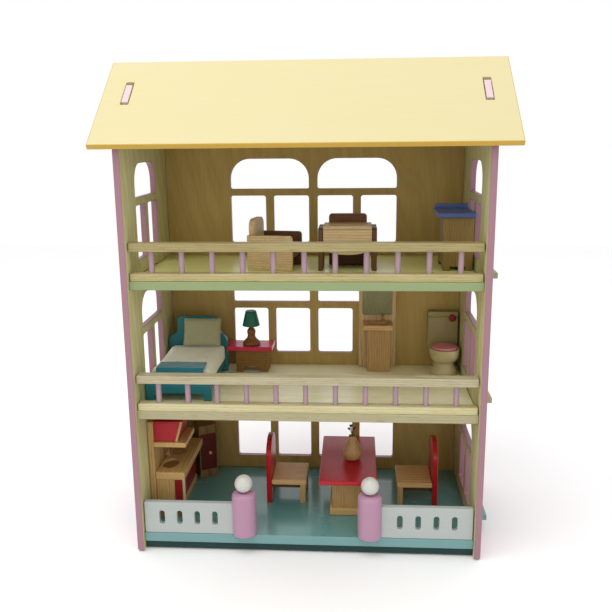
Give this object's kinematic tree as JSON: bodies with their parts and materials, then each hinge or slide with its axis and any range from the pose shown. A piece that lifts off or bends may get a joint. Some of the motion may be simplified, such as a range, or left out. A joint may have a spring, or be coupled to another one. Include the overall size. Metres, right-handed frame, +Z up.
{
  "type": "wooden dollhouse",
  "caption": "Open-front wooden dollhouse on three floors with a pitched lift-off roof, railings, a gate with posts, arched windows and loose wooden furniture.",
  "frame": {"origin": "on the ground, midway between the side panels and midway between the open front and the back panel", "axes": "+X to the right seen from the open front, +Y from the open front to the back panel, +Z up"},
  "size_m": [0.56, 0.276, 0.703],
  "materials": {
    "bed_teal": "satin paint",
    "blanket_cloth": "woven cotton, dyed teal",
    "cloth": "woven cotton",
    "deep_teal": "satin paint",
    "green": "satin paint",
    "lilac": "satin paint",
    "mint": "satin paint",
    "mirror": "silvered card",
    "navy": "satin paint",
    "pine": "clear lacquered natural pine",
    "pink": "satin paint",
    "ply": "unfinished plywood",
    "red": "satin paint",
    "rose": "satin paint",
    "teal": "gloss paint",
    "walnut": "dark stained wood",
    "white": "satin paint",
    "yellow": "satin paint with an open ply edge"
  },
  "bodies": {
    "house": {"side_panel_left": "pink", "side_panel_right": "pink", "back_panel": "ply", "floor_ground": "teal", "floor_middle": "pine", "floor_top": "green", "plinth": "deep_teal", "hand_rail_middle": "pine", "hand_rail_top": "pine", "balustrade_middle": "lilac", "balustrade_top": "lilac", "fence_left": "white", "fence_right": "white", "gatepost_left": "lilac", "gatepost_right": "lilac", "gate_ball_left": "white", "gate_ball_right": "white"},
    "front_roof": {"roof_front": "yellow"},
    "rear_roof": {"roof_rear": "yellow"},
    "kitchen_unit": {"kitchen_back": "pine", "kitchen_cabinet": "pine", "kitchen_front": "red", "kitchen_worktop": "pine", "kitchen_hood": "red"},
    "cupboard": {"cupboard_body": "pine"},
    "table": {"table_base": "pine", "table_top": "red"},
    "chair_left": {"chair_left_back": "red", "chair_left_seat": "pine"},
    "chair_right": {"chair_right_back": "red", "chair_right_seat": "pine"},
    "bed": {"bed_frame": "bed_teal"},
    "nightstand": {"nightstand_body": "pine", "nightstand_top": "red"},
    "washstand": {"washstand_backboard": "pine", "washstand_pedestal": "pine", "washstand_mirror": "mirror", "washstand_basin": "pine"},
    "toilet": {"toilet_bowl": "white", "toilet_cistern": "white", "toilet_button": "red"},
    "armchair": {"armchair_arm_near": "pine", "armchair_arm_far": "walnut", "armchair_back": "pine", "armchair_seat": "walnut"},
    "desk": {"desk_front": "pine", "desk_top": "pine", "desk_side_left": "walnut", "desk_side_right": "walnut", "desk_back": "walnut"},
    "chest": {"chest_body": "pine", "chest_top": "navy"},
    "vase_body": {"vase": "pine"},
    "mattress_body": {"mattress": "cloth"},
    "blanket_body": {"blanket": "blanket_cloth"},
    "pillow_body": {"pillow": "cloth"},
    "lamp": {"lamp_base": "walnut", "lamp_shade": "mint"},
    "door": {"cupboard_door": "red"},
    "lid": {"toilet_lid": "rose"}
  },
  "joints": [
    {"name": "front_roof_lift", "type": "slide", "parent": "house", "child": "front_roof", "axis": [0, -0.6374, 0.7705], "range_m": [0, 0.03]},
    {"name": "rear_roof_lift", "type": "slide", "parent": "house", "child": "rear_roof", "axis": [0, 0.6374, 0.7705], "range_m": [0, 0.03]},
    {"name": "kitchen_unit_lift", "type": "slide", "parent": "house", "child": "kitchen_unit", "axis": [0, 0, 1], "range_m": [0, 0.02]},
    {"name": "cupboard_lift", "type": "slide", "parent": "house", "child": "cupboard", "axis": [0, 0, 1], "range_m": [0, 0.02]},
    {"name": "table_lift", "type": "slide", "parent": "house", "child": "table", "axis": [0, 0, 1], "range_m": [0, 0.02]},
    {"name": "chair_left_lift", "type": "slide", "parent": "house", "child": "chair_left", "axis": [0, 0, 1], "range_m": [0, 0.02]},
    {"name": "chair_right_lift", "type": "slide", "parent": "house", "child": "chair_right", "axis": [0, 0, 1], "range_m": [0, 0.02]},
    {"name": "bed_lift", "type": "slide", "parent": "house", "child": "bed", "axis": [0, 0, 1], "range_m": [0, 0.02]},
    {"name": "nightstand_lift", "type": "slide", "parent": "house", "child": "nightstand", "axis": [0, 0, 1], "range_m": [0, 0.02]},
    {"name": "washstand_lift", "type": "slide", "parent": "house", "child": "washstand", "axis": [0, 0, 1], "range_m": [0, 0.02]},
    {"name": "toilet_lift", "type": "slide", "parent": "house", "child": "toilet", "axis": [0, 0, 1], "range_m": [0, 0.02]},
    {"name": "armchair_lift", "type": "slide", "parent": "house", "child": "armchair", "axis": [0, 0, 1], "range_m": [0, 0.02]},
    {"name": "desk_lift", "type": "slide", "parent": "house", "child": "desk", "axis": [0, 0, 1], "range_m": [0, 0.02]},
    {"name": "chest_lift", "type": "slide", "parent": "house", "child": "chest", "axis": [0, 0, 1], "range_m": [0, 0.02]},
    {"name": "vase_body_lift", "type": "slide", "parent": "table", "child": "vase_body", "axis": [0, 0, 1], "range_m": [0, 0.03]},
    {"name": "mattress_body_lift", "type": "slide", "parent": "bed", "child": "mattress_body", "axis": [0, 0, 1], "range_m": [0, 0.02]},
    {"name": "blanket_body_lift", "type": "slide", "parent": "mattress_body", "child": "blanket_body", "axis": [0, 0, 1], "range_m": [0, 0.02]},
    {"name": "pillow_body_lift", "type": "slide", "parent": "mattress_body", "child": "pillow_body", "axis": [0, 0, 1], "range_m": [0, 0.02]},
    {"name": "lamp_lift", "type": "slide", "parent": "nightstand", "child": "lamp", "axis": [0, 0, 1], "range_m": [0, 0.03]},
    {"name": "cupboard_door_hinge", "type": "hinge", "parent": "cupboard", "child": "door", "pos_m": [-0.19104, 0.06375, 0.0733], "axis": [0, 0, -1], "range_deg": [0, 50]},
    {"name": "toilet_lid_hinge", "type": "hinge", "parent": "toilet", "child": "lid", "pos_m": [0.214, 0.0955, 0.2613], "axis": [-1, 0, 0], "range_deg": [0, 85]}
  ]
}
